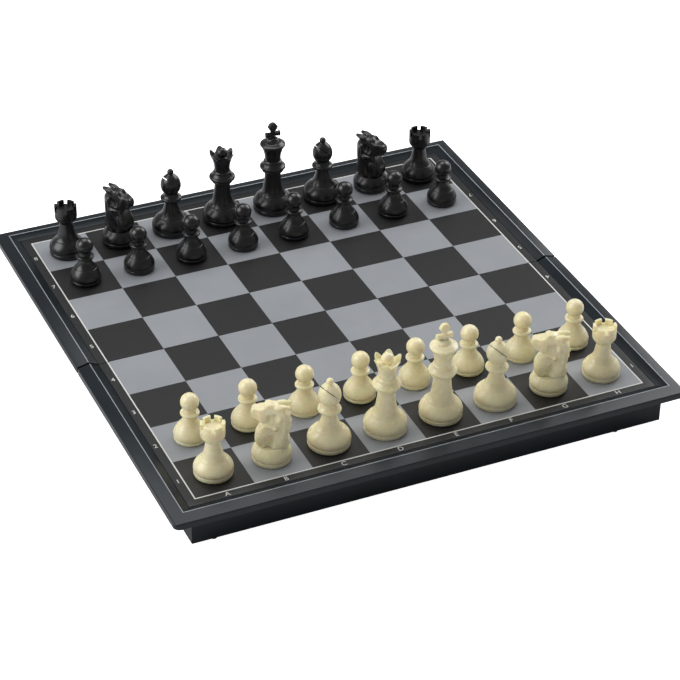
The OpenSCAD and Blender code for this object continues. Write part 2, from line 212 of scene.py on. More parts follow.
def zincPlatedSteel():
    # pressed steel with bright zinc plating: pale grey with a faint crystal mottling
    material, tree, shader = newMaterial("zinc_plated_steel", {"Metallic": 1})
    colour = mottled(tree, 2.5 * mm, "#a3a6a4", "#c0c2bf")
    tree.links.new(colour, shader.inputs["Base Color"])
    grain(tree, shader, size=0.4 * mm, height=0.006 * mm, roughLow=0.26, roughHigh=0.4)
    return material


def rolledSteel():
    # cold-rolled sheet: long fine streaks along the rolling direction
    material, tree, shader = newMaterial("cold_rolled_steel", {"Metallic": 1})
    place = addNode(tree, "ShaderNodeTexCoord").outputs["Object"]
    stretch = addNode(tree, "ShaderNodeMapping", inputs={"Vector": place, "Scale": (40, 1200, 40)})
    streaks = addNode(tree, "ShaderNodeTexNoise", inputs={
        "Vector": stretch.outputs["Vector"], "Scale": 1, "Detail": 2})
    tone = addNode(tree, "ShaderNodeMix", {"data_type": "RGBA"}, {"Factor": streaks.outputs["Fac"]})
    tone.inputs["A"].default_value = linear("#7f8386")
    tone.inputs["B"].default_value = linear("#9da1a3")
    tree.links.new(tone.outputs["Result"], shader.inputs["Base Color"])
    rough = addNode(tree, "ShaderNodeMapRange", inputs={
        "Value": streaks.outputs["Fac"], "To Min": 0.3, "To Max": 0.45})
    tree.links.new(rough.outputs["Result"], shader.inputs["Roughness"])
    return material


def ferrite():
    # sintered ferrite disc: dull dark grey with a sandy grain
    material, tree, shader = newMaterial("sintered_ferrite")
    colour = mottled(tree, 0.6 * mm, "#2d2b2a", "#45423f")
    tree.links.new(colour, shader.inputs["Base Color"])
    grain(tree, shader, size=0.3 * mm, height=0.02 * mm, roughLow=0.6, roughHigh=0.8)
    return material


charcoal = charcoalAbs()
crownHighlight = polishedAbs()
darkPrint = printedSheet("printed_pvc_dark", "#121213", "#161617", 0.4, 0.5)
lightPrint = printedSheet("printed_pvc_grey", "#8a8d92", "#919499", 0.42, 0.52)
marginPrint = printedSheet("printed_pvc_margin", "#141516", "#18191a", 0.4, 0.5)
whiteInk = printedSheet("printed_pvc_white", "#cfcfcb", "#d8d8d4", 0.45, 0.55)
ivory = ivoryPolystyrene()
black = blackPolystyrene()
zinc = zincPlatedSteel()
steel = rolledSteel()
magnetFerrite = ferrite()
print("materials made")


# shared modelling helpers
def asMesh(bm, name):
    mesh = bpy.data.meshes.new(name)
    bm.to_mesh(mesh)
    bm.free()
    return mesh


def joined(bm, other):
    # the first mesh with the other one added
    mesh = asMesh(other, "added")
    bm.from_mesh(mesh)
    bpy.data.meshes.remove(mesh)
    return bm


def extended(bm, faces, kind):
    # extrudes the faces in place and gives back what is new, of one kind
    grown = bmesh.ops.extrude_face_region(bm, geom=faces)["geom"]
    return [item for item in grown if isinstance(item, kind)]


def sliced(bm, point, normal, clear=False, dist=1e-7):
    # cuts along a plane, and with clear also drops what its normal points at
    bmesh.ops.bisect_plane(bm, geom=bm.verts[:] + bm.edges[:] + bm.faces[:], dist=dist,
                           plane_co=point, plane_no=normal, clear_outer=clear)


def rounded(bm, edges, radius, segments=3, clamp=False):
    bmesh.ops.bevel(bm, geom=edges, offset=radius * mm, offset_type="OFFSET", affect="EDGES",
                    segments=segments, profile=0.5, material=-1, clamp_overlap=clamp)


def addBox(bm, size, middle):
    # a box in a mesh that is still empty
    bmesh.ops.create_cube(bm, size=1)
    bmesh.ops.scale(bm, vec=size, verts=bm.verts[:])
    bmesh.ops.translate(bm, vec=middle, verts=bm.verts[:])


def finishPiece(bm, name, materials, body, replaced=(), sharpAngle=32):
    bmesh.ops.remove_doubles(bm, verts=bm.verts[:], dist=weld)
    bmesh.ops.recalc_face_normals(bm, faces=bm.faces[:])
    limit = math.radians(sharpAngle)
    for face in bm.faces:
        face.smooth = True
    for edge in bm.edges:
        edge.smooth = len(edge.link_faces) == 2 and edge.calc_face_angle(0) < limit
    mesh = bpy.data.meshes.new(name)
    bm.to_mesh(mesh)
    bm.free()
    piece = bpy.data.objects.new(name, mesh)
    for material in materials:
        mesh.materials.append(material)
    scene.collection.objects.link(piece)
    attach(piece, body)
    if replaced:
        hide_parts(*replaced)
    return piece


def arcPoints(centreR, centreZ, radius, start, end, count):
    step = (end - start) / count
    return [
        (centreR + radius * math.cos(math.radians(start + i * step)),
         centreZ + radius * math.sin(math.radians(start + i * step)))
        for i in range(count + 1)
    ]


def curvePoints(a, b, c, d, count):
    points = []
    for i in range(count + 1):
        t = i / count
        s = 1 - t
        weights = (s * s * s, 3 * s * s * t, 3 * s * t * t, t * t * t)
        points.append(tuple(sum(w * p[k] for w, p in zip(weights, (a, b, c, d))) for k in (0, 1)))
    return points


def turned(outline, steps=72):
    # outline as (radius, height) in millimetres, from the foot's middle to the top's middle
    bm = bmesh.new()
    points = [(0, outline[0][1])] + outline + [(0, outline[-1][1])]
    verts = [bm.verts.new((r * mm, 0, z * mm)) for r, z in points]
    edges = [bm.edges.new(pair) for pair in zip(verts, verts[1:])]
    bmesh.ops.spin(bm, geom=verts + edges, cent=(0, 0, 0), axis=(0, 0, 1),
                   angle=2 * math.pi, steps=steps, use_merge=True)
    bmesh.ops.remove_doubles(bm, verts=bm.verts[:], dist=weld)
    bmesh.ops.recalc_face_normals(bm, faces=bm.faces[:])
    return bm


def addBevel(piece, width, angle=30, segments=2):
    bevel = piece.modifiers.new("soft_edges", "BEVEL")
    bevel.width = width
    bevel.segments = segments
    bevel.limit_method = "ANGLE"
    bevel.angle_limit = math.radians(angle)
    bevel.harden_normals = False


# half boards
moulding = {
    "deck": 3.4,             # thickness of flange and deck
    "edgeHeight": 0.6,       # flange edge above the playing surface
    "edgeRound": 0.6,
    "crownInset": 7.4,
    "crownHeight": 2.3,
    "crownRound": 0.9,
    "crownHighlightBand": 0.06,       # height of the painted highlight line at the crown's top
    "rimWidth": 12.9,
    "lipWidth": 0.3,         # small slope from the rim down to the panel
    "lipTop": 0.12,
    "lipBottom": -0.1,
    "draft": 0.02,
    "basin": 1.0,            # depth of the seat under the playing surface
    "corner": 4.0,
    "endRound": 0.5,         # rounding of the rim's ends at the seam
    "underGap": 0.02,        # between the top plate and what is taken over below it
}


def rimOutline():
    crownZ = moulding["crownHeight"] - moulding["crownRound"]
    edgeZ = moulding["edgeHeight"] - moulding["edgeRound"]
    outline = arcPoints(moulding["edgeRound"], edgeZ, moulding["edgeRound"], 180, 100, 5)
    outline += arcPoints(moulding["crownInset"], crownZ, moulding["crownRound"], 102, 42, 5)
    inner = moulding["rimWidth"]
    outline += [(inner - moulding["lipWidth"], moulding["lipTop"]), (inner, moulding["lipBottom"])]
    return outline + [(inner + moulding["draft"], -moulding["basin"])]


def topPlate():
    # the whole open board's flange and rim, cut off at the seam afterwards
    bm = bmesh.new()
    bottom = board["surface"] - moulding["deck"] * mm
    bmesh.ops.create_grid(bm, x_segments=1, y_segments=1, size=0.5)
    bmesh.ops.scale(bm, vec=(board["width"], board["depth"], 1), verts=bm.verts[:])
    bmesh.ops.translate(bm, vec=(0, 0, bottom), verts=bm.verts[:])
    top = extended(bm, bm.faces[:], bmesh.types.BMFace)
    across = 0
    for distance, height in rimOutline():
        if distance - across > nearly:
            bmesh.ops.inset_region(bm, faces=top, thickness=(distance - across) * mm,
                                   use_even_offset=True, use_boundary=True)
            across = distance
        for vert in {v for f in top for v in f.verts}:
            vert.co.z = board["surface"] + height * mm
    corners = [
        e for e in bm.edges
        if abs(abs(e.verts[0].co.x) - board["width"] / 2) < nearly
        and abs(abs(e.verts[0].co.y) - board["depth"] / 2) < nearly
        and (e.verts[0].co.xy - e.verts[1].co.xy).length < nearly
    ]
    rounded(bm, corners, moulding["corner"], segments=8)
    sliced(bm, (0, -board["seam"], 0), (0, 1, 0), clear=True, dist=nearly)
    rim = [e for e in bm.edges if e.is_boundary]
    end = bmesh.ops.holes_fill(bm, edges=rim, sides=0)["faces"]
    ends = [e for f in end for e in f.edges
            if max(v.co.z for v in e.verts) > bottom + 10 * nearly]
    rounded(bm, ends, moulding["endRound"])
    bmesh.ops.recalc_face_normals(bm, faces=bm.faces[:])
    return bm


def underside(node):
    # walls, bosses, pegs and rivet holes, taken over from the frame below the deck
    bm = bmesh.new()
    bm.from_mesh(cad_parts[node].data)
    bmesh.ops.remove_doubles(bm, verts=bm.verts[:], dist=weld)
    cutZ = board["surface"] - moulding["deck"] * mm - moulding["underGap"] * mm
    sliced(bm, (0, 0, cutZ), (0, 0, 1), clear=True)
    bmesh.ops.dissolve_limit(bm, angle_limit=math.radians(1), verts=bm.verts[:], edges=bm.edges[:])
    cut = [e for e in bm.edges if e.is_boundary]
    bmesh.ops.holes_fill(bm, edges=cut, sides=0)
    return bm


def addHalf(node, body, turn):
    plate = topPlate()
    turning = Matrix.Rotation(turn, 3, "Z")
    bmesh.ops.rotate(plate, verts=plate.verts[:], cent=(0, 0, 0), matrix=turning)
    bm = joined(underside(node), plate)
    # faces at the crown's top get the pale painted highlight colour
    crown = board["surface"] + (moulding["crownHeight"] - moulding["crownHighlightBand"]) * mm
    for face in bm.faces:
        if face.calc_center_median().z > crown:
            face.material_index = 1
    finishPiece(bm, node + "_moulding", [charcoal, crownHighlight], body,
                [node], sharpAngle=25)


addHalf("front_frame", "front_half", 0)
addHalf("rear_frame", "rear_half", math.pi)
print("half boards moulded")


# printed panels
inks = {"dark": darkPrint, "light": lightPrint, "margin": marginPrint, "line": whiteInk}
inkOrder = list(inks)
panel = {
    "line": 0.8,             # width of the white line round the field
    "edgeRound": 0.2,
    "seamGap": 0.2,          # half the gap between the two printed sheets
    "labelHeight": 3.4,
    "capShare": 0.7,         # height of a capital, as a share of the font's size
    "labelInk": 0.02,
    "letterRow": -145.2,     # middle of the letters' row, from the middle of the board
    "digitColumn": 144.3,
}


def addPanel(node, body, side):
    # side is -1 for the half with ranks 1 to 4 and 1 for ranks 5 to 8
    square = board["square"]
    field = 4 * square
    firstLine = board["seamToSquares"]
    low, high = (list(corner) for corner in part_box(node))
    (high if side < 0 else low)[1] = side * panel["seamGap"] * mm
    bm = bmesh.new()
    size = [high[k] - low[k] for k in range(3)]
    middle = [(high[k] + low[k]) / 2 for k in range(3)]
    addBox(bm, size, middle)
    outer = firstLine + field
    line = panel["line"] * mm
    xCuts = [i * square for i in range(-4, 5)] + [-field - line, field + line]
    yCuts = [side * (firstLine + i * square) for i in range(5)] + [side * (outer + line)]
    for x in xCuts:
        sliced(bm, (x, 0, 0), (1, 0, 0))
    for y in yCuts:
        sliced(bm, (0, y, 0), (0, 1, 0))
    for face in bm.faces:
        centre = face.calc_center_median()
        across = abs(centre.x)
        away = abs(centre.y)
        if across > field + line or away > outer + line:
            ink = "margin"
        elif across > field or away > outer:
            ink = "line"
        else:
            column = math.floor(centre.x / square + 4)
            steps = max(0, math.floor((away - firstLine) / square))
            row = 4 + steps if side > 0 else 3 - steps
            ink = "light" if (column + row) % 2 else "dark"
        face.material_index = inkOrder.index(ink)
    edges = [
        e for e in bm.edges
        if all(abs(v.co.z - high[2]) < nearly for v in e.verts)
        and len(e.link_faces) == 2 and e.calc_face_angle(0) > 1
    ]
    rounded(bm, edges, panel["edgeRound"])
    finishPiece(bm, node + "_print", list(inks.values()), body, [node])


def addLabels(name, body, labels):
    # labels as (text, x, y, turn), printed on the margin
    bm = bmesh.new()
    for text, x, y, turn in labels:
        curve = bpy.data.curves.new("label", "FONT")
        curve.body = text
        curve.align_x = "CENTER"
        curve.align_y = "CENTER"
        curve.size = panel["labelHeight"] / panel["capShare"] * mm
        curve.extrude = panel["labelInk"] * mm
        curve.resolution_u = 4
        letter = bpy.data.objects.new("label", curve)
        scene.collection.objects.link(letter)
        bpy.context.view_layer.update()
        shaped = letter.evaluated_get(bpy.context.evaluated_depsgraph_get())
        mesh = bpy.data.meshes.new_from_object(shaped)
        bpy.data.objects.remove(letter)
        mesh.transform(Matrix.Translation((x, y, board["surface"])) @ Matrix.Rotation(turn, 4, "Z"))
        bm.from_mesh(mesh)
        bpy.data.meshes.remove(mesh)
    finishPiece(bm, name, [whiteInk], body)


def rankMiddle(rank):
    # middle of a rank's squares, rank 1 to 8
    side = 1 if rank > 4.5 else -1
    return side * (board["seamToSquares"] + abs(rank - 4.5) * board["square"])


def fileMiddle(column):
    return (column - 3.5) * board["square"]


def rankLabels(ranks):
    labels = []
    for rank in ranks:
        labels.append((str(rank), -panel["digitColumn"] * mm, rankMiddle(rank), 0))
        labels.append((str(rank), panel["digitColumn"] * mm, rankMiddle(rank), math.pi))
    return labels


addPanel("front_panel", "front_half", -1)
addPanel("rear_panel", "rear_half", 1)
fileLetters = [
    (letter, fileMiddle(i), panel["letterRow"] * mm, 0) for i, letter in enumerate("ABCDEFGH")
]
addLabels("front_coordinates", "front_half", rankLabels(range(1, 5)) + fileLetters)
addLabels("rear_coordinates", "rear_half", rankLabels(range(5, 9)))
print("panels printed")


# chessmen, outlines as (radius, height) in millimetres
def foot(r, lip=2.9):
    # r is the foot's radius, lip the height of the groove round it
    points = curvePoints((r - 1, 0), (r - 0.35, 0.2), (r - 0.25, 0.7), (r - 0.25, 1.4), 4)
    points += [(r - 0.25, lip - 0.45), (r - 0.32, lip - 0.2), (r - 0.52, lip)]
    return points + [(r - 0.5, lip + 0.2), (r - 0.36, lip + 0.45)]


def bell(r, topR, topZ):
    # the round lower body, up to its top edge
    points = foot(r)
    points += curvePoints((r - 0.15, 4), (r + 0.3, topZ * 0.64),
                          (r - 1.9, topZ * 0.83), (topR, topZ), 14)
    return points + [(topR - 0.2, topZ + 0.1), (topR - 0.25, topZ + 0.25)]


def royalCollars(stem):
    points = [(stem + 0.9, 28.1)]
    points += arcPoints(stem + 1.1, 29.1, 0.75, -60, 60, 5)
    points += arcPoints(7.1, 31.7, 1.3, -70, 70, 8)
    points += [(stem + 1.1, 34.4)]
    return points + arcPoints(stem + 0.3, 35.6, 0.6, -40, 60, 4)


magnet = {
    "thickness": 2,
    "recess": 2.3,
    "glue": 0.1,
    "chamfer": 0.25,
    "edgeRound": 0.2,
    "radius": {"pawn": 5, "rook": 6, "knight": 6, "bishop": 6, "queen": 6.5, "king": 6.5},
}
footRadius = {
    "pawn": 9.8, "rook": 11.5, "knight": 11.5, "bishop": 12.7, "queen": 12.9, "king": 12.9,
}
manEdgeRound = 0.12


def recessed(kind, outline):
    # outline with the blind recess for the magnet in the foot
    bore = magnet["radius"][kind] + magnet["glue"]
    roof = magnet["recess"]
    chamfer = magnet["chamfer"]
    return [(bore - 0.01, roof), (bore, roof), (bore, chamfer), (bore + chamfer, 0)] + outline


def pawnOutline():
    r = footRadius["pawn"]
    points = foot(r, 2.2)
    points += curvePoints((r - 0.1, 3.2), (r + 0.3, 5.6), (r - 1.4, 7.9), (6.9, 9.9), 12)
    points += [(6.7, 10)] + curvePoints((6.6, 10.2), (5.3, 11.7), (4.1, 13.8), (3.8, 16.3), 8)
    points += [(4.4, 16.6)] + arcPoints(4.6, 17.7, 1, -90, 90, 8) + [(3.9, 19)]
    return points + arcPoints(0, 25.1, 5.4, -47, 89, 20)


rookHead = {
    "radius": 7.05,
    "top": 34.7,
    "bore": 5.4,
    "floor": 31.6,
    "gaps": 6,
    "gapWidth": 2.1,
    "turn": 10,              # degrees
}


def rookOutline():
    points = bell(footRadius["rook"], 8, 10.4)
    points += curvePoints((7.7, 10.8), (6.1, 12.3), (4.8, 15.2), (4.2, 22.2), 10)
    points += curvePoints((4.2, 22.2), (5, 23.8), (6.9, 24.8), (rookHead["radius"], 27), 8)[1:]
    points += [(rookHead["radius"], rookHead["floor"]), (rookHead["bore"], rookHead["floor"])]
    return points


def bishopOutline():
    points = bell(footRadius["bishop"], 8.6, 11)
    points += curvePoints((8.3, 11.4), (6.4, 12.9), (4.9, 15.5), (3.9, 21.8), 10)
    points += [(4.7, 22.3)] + arcPoints(5.7, 24.2, 1.15, -65, 75, 8) + [(4.9, 26.4), (4.3, 27.8)]
    points += curvePoints((4.3, 28.2), (6.6, 30.4), (7.6, 34.5), (5.2, 38.4), 14)
    points += curvePoints((5.2, 38.4), (4, 40), (2.6, 40.8), (1.9, 41.4), 6)[1:]
    return points + arcPoints(0, 42.8, 2.1, -35, 89, 10)


queenCrown = {
    "points": 6,
    "tip": 8.3,
    "top": 49.6,
    "valley": 45.9,
    "inside": 5.5,           # what lies nearer to the middle isn't dipped
    "roundness": 1.5,        # how blunt the dips between the points are
    "dip": 0.92,             # depth of the dips, as a share of the coronet's height
    "pull": 0.16,            # how far the dips lean inwards, as a share of the radius
    "ball": 3.6,
    "ballHeight": 48.9,
}


def queenOutline():
    stem = 4.9
    points = bell(footRadius["queen"], 8.9, 11.3)
    points += curvePoints((8.6, 11.7), (6.8, 13.2), (stem + 0.6, 16.5), (stem, 27.8), 10)
    points += royalCollars(stem)
    points += curvePoints((stem + 0.1, 36.6), (4.9, 40.5), (5.6, 43), (6.5, 45.4), 8)
    # coronet: up the outside, over the lip and down the inside to the cup that holds the ball
    tip, top = queenCrown["tip"], queenCrown["top"]
    points += curvePoints((6.5, 45.4), (6.9, 46.6), (7.4, 47.8), (tip, top), 5)[1:]
    points += [(tip - 0.5, top)]
    points += curvePoints((7.2, 48.6), (6.6, 47.4), (6.2, 46.6), (5.9, 45.9), 4)
    points += [(4.6, 45.5), (3.4, 45.5)]
    return points + arcPoints(0, queenCrown["ballHeight"], queenCrown["ball"], -50, 88, 16)


def kingOutline():
    stem = 5.1
    points = bell(footRadius["king"], 8.9, 11.3)
    points += curvePoints((8.6, 11.7), (6.8, 13.2), (stem + 0.6, 16.5), (stem, 27.8), 10)
    points += royalCollars(stem)
    points += curvePoints((stem + 0.1, 36.6), (5, 40.5), (6, 43.5), (7.4, 46.6), 8)
    points += arcPoints(7.3, 47.8, 0.95, -50, 80, 7)
    points += curvePoints((6.9, 48.9), (6, 49.7), (5.2, 50), (4.4, 50.1), 5) + [(4.0, 50.2)]
    return points + curvePoints((3.9, 50.5), (3.8, 51.7), (3.2, 52.5), (1.8, 52.9), 6)


def pawnMesh():
    return turned(recessed("pawn", pawnOutline()))


def rookMesh():
    bm = turned(recessed("rook", rookOutline()), 90)
    floor = rookHead["floor"] * mm
    sector = 2 * math.pi / rookHead["gaps"]
    middle = (rookHead["radius"] + rookHead["bore"]) / 2
    halfGap = rookHead["gapWidth"] / middle / 2
    crown = []
    for face in bm.faces:
        centre = face.calc_center_median()
        ring = math.hypot(centre.x, centre.y)
        if abs(centre.z - floor) < nearly and ring > (rookHead["bore"] + 0.2) * mm:
            angle = math.atan2(centre.y, centre.x) - math.radians(rookHead["turn"])
            if abs((angle + sector / 2) % sector - sector / 2) > halfGap:
                crown.append(face)
    raised = extended(bm, crown, bmesh.types.BMVert)
    bmesh.ops.delete(bm, geom=crown, context="FACES_ONLY")
    bmesh.ops.translate(bm, vec=(0, 0, (rookHead["top"] - rookHead["floor"]) * mm), verts=raised)
    return bm


def solved(bm, modifierKind, settings, cutter=None):
    # the mesh after one modifier, as a new bmesh
    mesh = asMesh(bm, "work")
    work = bpy.data.objects.new("work", mesh)
    scene.collection.objects.link(work)
    modifier = work.modifiers.new("work", modifierKind)
    for name, value in settings.items():
        setattr(modifier, name, value)
    tool = None
    if cutter:
        tool = bpy.data.objects.new("cutter", asMesh(cutter, "cutter"))
        scene.collection.objects.link(tool)
        modifier.object = tool
    bpy.context.view_layer.update()
    result = bpy.data.meshes.new_from_object(
        work.evaluated_get(bpy.context.evaluated_depsgraph_get()))
    done = bmesh.new()
    done.from_mesh(result)
    for item in (work, tool):
        if item:
            used = item.data
            bpy.data.objects.remove(item)
            bpy.data.meshes.remove(used)
    bpy.data.meshes.remove(result)
    return done


def combined(bm, operation, cutter):
    return solved(bm, "BOOLEAN", {"operation": operation, "solver": "EXACT"}, cutter)


def remeshed(bm, voxel):
    return solved(bm, "REMESH", {"mode": "VOXEL", "voxel_size": voxel * mm})


bishopCut = {
    "start": -14,            # where the cut starts and ends, along its own slope
    "end": 3.2,
    "across": 30,
    "width": 0.6,
    "tilt": 47,              # degrees
    "turn": 14.5,
    "through": (-0.9, 0.4, 35.6),
}


def bishopMesh():
    # the mitre's cut slants down from one side to just past the middle
    cutter = bmesh.new()
    start, end = bishopCut["start"], bishopCut["end"]
    size = ((end - start) * mm, bishopCut["across"] * mm, bishopCut["width"] * mm)
    addBox(cutter, size, ((start + end) / 2 * mm, 0, 0))
    cutter.transform(
        Matrix.Translation(Vector(bishopCut["through"]) * mm)
        @ Matrix.Rotation(math.radians(bishopCut["turn"]), 4, "Z")
        @ Matrix.Rotation(math.radians(bishopCut["tilt"]), 4, "Y"))
    body = turned(recessed("bishop", bishopOutline()))
    return combined(body, "DIFFERENCE", cutter)


def queenMesh():
    # the coronet's lip dips between its points
    bm = turned(recessed("queen", queenOutline()), 96)
    valley = queenCrown["valley"]
    depth = queenCrown["top"] - valley
    for vert in bm.verts:
        ring = math.hypot(vert.co.x, vert.co.y) / mm
        height = vert.co.z / mm
        if ring > queenCrown["inside"] and height > valley:
            angle = math.atan2(vert.co.y, vert.co.x) * queenCrown["points"] / 2
            dip = 1 - abs(math.cos(angle)) ** queenCrown["roundness"]
            share = (height - valley) / depth
            drop = share * dip * depth * queenCrown["dip"]
            vert.co.z -= drop * mm
            pull = 1 - queenCrown["pull"] * share * dip
            vert.co.x *= pull
            vert.co.y *= pull
    return bm


kingCross = {"thickness": 2.8, "armHeight": 55.2, "armLength": 5, "top": 63.2, "edgeRound": 0.55}


def kingMesh():
    bm = turned(recessed("king", kingOutline()))
    arm = kingCross["armHeight"]
    end = kingCross["armLength"]
    top = kingCross["top"]
    depth = kingCross["thickness"] * mm
    # right half of the cross, from its stem up and round to the top
    outline = [(2.6, 51.6), (1.15, arm - 1.2), (end, arm - 1.9), (end + 0.1, arm)]
    outline += [(end, arm + 1.4), (1.25, arm + 0.9), (1.5, arm + 2.2), (3.3, 60.1)]
    outline += curvePoints((3.1, 60.6), (2.6, 62), (1.6, top - 0.1), (0.5, top), 5)
    outline += [(-x, z) for x, z in reversed(outline)]
    cross = bmesh.new()
    face = cross.faces.new([cross.verts.new((x * mm, -depth / 2, z * mm)) for x, z in outline])
    moved = extended(cross, [face], bmesh.types.BMVert)
    bmesh.ops.translate(cross, vec=(0, depth, 0), verts=moved)
    bmesh.ops.recalc_face_normals(cross, faces=cross.faces[:])
    rims = [e for e in cross.edges if abs(e.verts[0].co.y - e.verts[1].co.y) < nearly]
    rounded(cross, rims, kingCross["edgeRound"], clamp=True)
    return joined(bm, cross)


# the horse looks along +X
horse = {
    # round forms as (middle, radii, pitch, yaw), each one mirrored to the other side
    "forms": [
        ((4.4, 2.1, 17.2), (4.7, 3.6, 7.4), -20, 10),      # lobe of the breast
        ((-2.2, 4.6, 23.8), (1.8, 1.5, 1.6), 0, 0),        # end of the roll under the jaw
        ((0.9, 3.5, 24.7), (4.4, 1.9, 1.2), -8, -14),      # roll under the jaw
        ((-5.0, 3.1, 29.6), (2.5, 2.5, 3.6), 8, 0),        # lobe behind the cheek
        ((1.4, 3.1, 26.9), (3.8, 1.7, 1.0), 6, -12),       # edge of the jaw
        ((2.2, 2.1, 36.6), (2.2, 1.5, 1.5), 30, 0),        # brow
        ((9.6, 1.6, 34.0), (1.5, 1.2, 1.2), 15, 0),        # nostril
        ((7.4, 0.5, 28.2), (2.8, 1.8, 1.0), 6, 0),         # chin
        ((-5.4, 2.6, 36.4), (4.2, 1.9, 1.9), 8, 2),        # ear
    ],
    # hollows carved out of both sides, in the same way
    "hollows": [
        ((-1.7, 7.0, 30.8), (2.8, 3.4, 4.6), 0, 0),        # cheek
        ((0.9, 7.0, 30.2), (2.8, 3.4, 4.4), 0, 0),         # cheek
        ((0.6, 8.0, 14.0), (3.2, 4.4, 10.2), -18, 0),      # between breast and flank
        ((-6.6, 7.6, 24.0), (2.4, 3.4, 9.5), 2, 0),        # between flank and mane
        ((-8.2, 4.5, 36.9), (3.2, 1.2, 0.6), 12, 2),       # inside the ear
    ],
    "mouth": {"middle": (11.0, 30.4), "length": 5, "gap": 0.5, "tilt": 18},
    "ear": {
        "root": (-6.0, 2.6, 36.4),
        "tip": (-10.5, 2.8, 37.0),
        "width": 2.1,
        "depth": 2.1,
        "point": 0.45,
    },
    "maneLocks": [(-7.0, 33.2), (-8.5, 30.4), (-9.1, 27.0), (-8.8, 23.4), (-8.0, 20.0)],
    "lockRadii": (2.2, 2.3, 2.4),
    "lockPitch": -14,
    "blankVoxel": 0.4,       # the blank is smoothed before the forms are added
    "blankSmoothing": 10,
    "voxel": 0.3,
    "smoothing": 2,
}


def horseSide():
    outline = [(5.7, 9.6)] + curvePoints((5.7, 10.4), (9.7, 12.0), (10.9, 16.8), (7.8, 21), 8)
    outline += curvePoints((7.8, 21), (6.4, 22.9), (5, 24.4), (3.4, 25.4), 4)[1:] + [(3, 26.3)]
    outline += curvePoints((4.4, 26.9), (7.4, 27.0), (9.8, 27.4), (10.9, 29.2), 5)
    outline += curvePoints((10.9, 29.2), (12.1, 31), (12.0, 34.4), (10.1, 35.0), 6)[1:]
    outline += curvePoints((10.1, 35.0), (7.6, 35.6), (5.4, 34.6), (3.8, 36.4), 6)[1:]
    outline += curvePoints((3.8, 36.4), (2.2, 38.2), (0.4, 38.6), (-1.2, 38.1), 5)[1:]
    outline += curvePoints((-1.2, 38.1), (-4.6, 36.9), (-8.4, 34.6), (-10.2, 31.2), 7)[1:]
    outline += curvePoints((-10.2, 31.2), (-11.2, 27), (-10.5, 21.6), (-8.9, 17.2), 6)[1:]
    outline += curvePoints((-8.9, 17.2), (-10.3, 15.6), (-10.5, 13.4), (-9.6, 10.4), 5)[1:]
    return outline + [(-9.4, 9.6)]


def horseFront():
    # half width at each height
    outline = [(6.2, 9.6)] + curvePoints((6.2, 10.4), (5.4, 14), (4.7, 17), (4.6, 21), 5)
    outline += curvePoints((4.6, 21), (4.8, 26), (5, 31), (4, 35), 5)[1:]
    outline += curvePoints((4, 35), (3.4, 37), (2.4, 38.8), (1.2, 39.6), 4)[1:]
    return outline + [(-x, z) for x, z in reversed(outline)]


def horsePlan():
    # half width from mane to muzzle
    outline = [(-11.6, 1.4), (-10, 2.7)] + curvePoints((-7, 4.9), (-4, 6.2), (0, 6.2), (3, 5.6), 5)
    outline += curvePoints((3, 5.6), (6, 4.7), (7, 3.3), (9.4, 2.8), 5)[1:]
    outline += curvePoints((9.4, 2.8), (11.4, 2.8), (12.4, 2.2), (12.6, 0.8), 4)[1:]
    return outline + [(x, -y) for x, y in reversed(outline)]


def extruded(outline, axes, depth):
    # a flat outline given a thickness, axes says which two directions it is drawn in
    bm = bmesh.new()
    verts = []
    for pair in outline:
        place = Vector((0, 0, 0))
        place[axes[0]], place[axes[1]] = pair
        verts.append(bm.verts.new(place * mm))
    across = 3 - axes[0] - axes[1]
    shift = Vector((0, 0, 0))
    shift[across] = depth * mm
    face = bm.faces.new(verts)
    bmesh.ops.translate(bm, vec=-shift / 2, verts=verts)
    bmesh.ops.translate(bm, vec=shift, verts=extended(bm, [face], bmesh.types.BMVert))
    bmesh.ops.recalc_face_normals(bm, faces=bm.faces[:])
    return bm


def roundForm(bm, middle, radii, pitch=0, yaw=0):
    made = bmesh.ops.create_uvsphere(bm, u_segments=32, v_segments=20, radius=1)["verts"]
    matrix = (
        Matrix.Translation(Vector(middle) * mm)
        @ Matrix.Rotation(math.radians(yaw), 4, "Z")
        @ Matrix.Rotation(math.radians(pitch), 4, "Y")
        @ Matrix.Diagonal([r * mm for r in radii] + [1]))
    bmesh.ops.transform(bm, matrix=matrix, verts=made)


def smoothed(bm, times):
    for _ in range(times):
        bmesh.ops.smooth_vert(bm, verts=bm.verts[:], factor=0.5,
                              use_axis_x=True, use_axis_y=True, use_axis_z=True)


def addEar(bm, side):
    ear = horse["ear"]
    root, tip = (Vector((x, side * y, z)) for x, y, z in (ear["root"], ear["tip"]))
    cone = bmesh.ops.create_cone(bm, cap_ends=True, segments=24,
                                 radius1=1, radius2=ear["point"], depth=1)
    matrix = (
        Matrix.Translation((root + tip) / 2 * mm)
        @ (tip - root).to_track_quat("Z", "Y").to_matrix().to_4x4()
        @ Matrix.Diagonal((ear["width"] * mm, ear["depth"] * mm, (tip - root).length * mm, 1)))
    bmesh.ops.transform(bm, matrix=matrix, verts=cone["verts"])


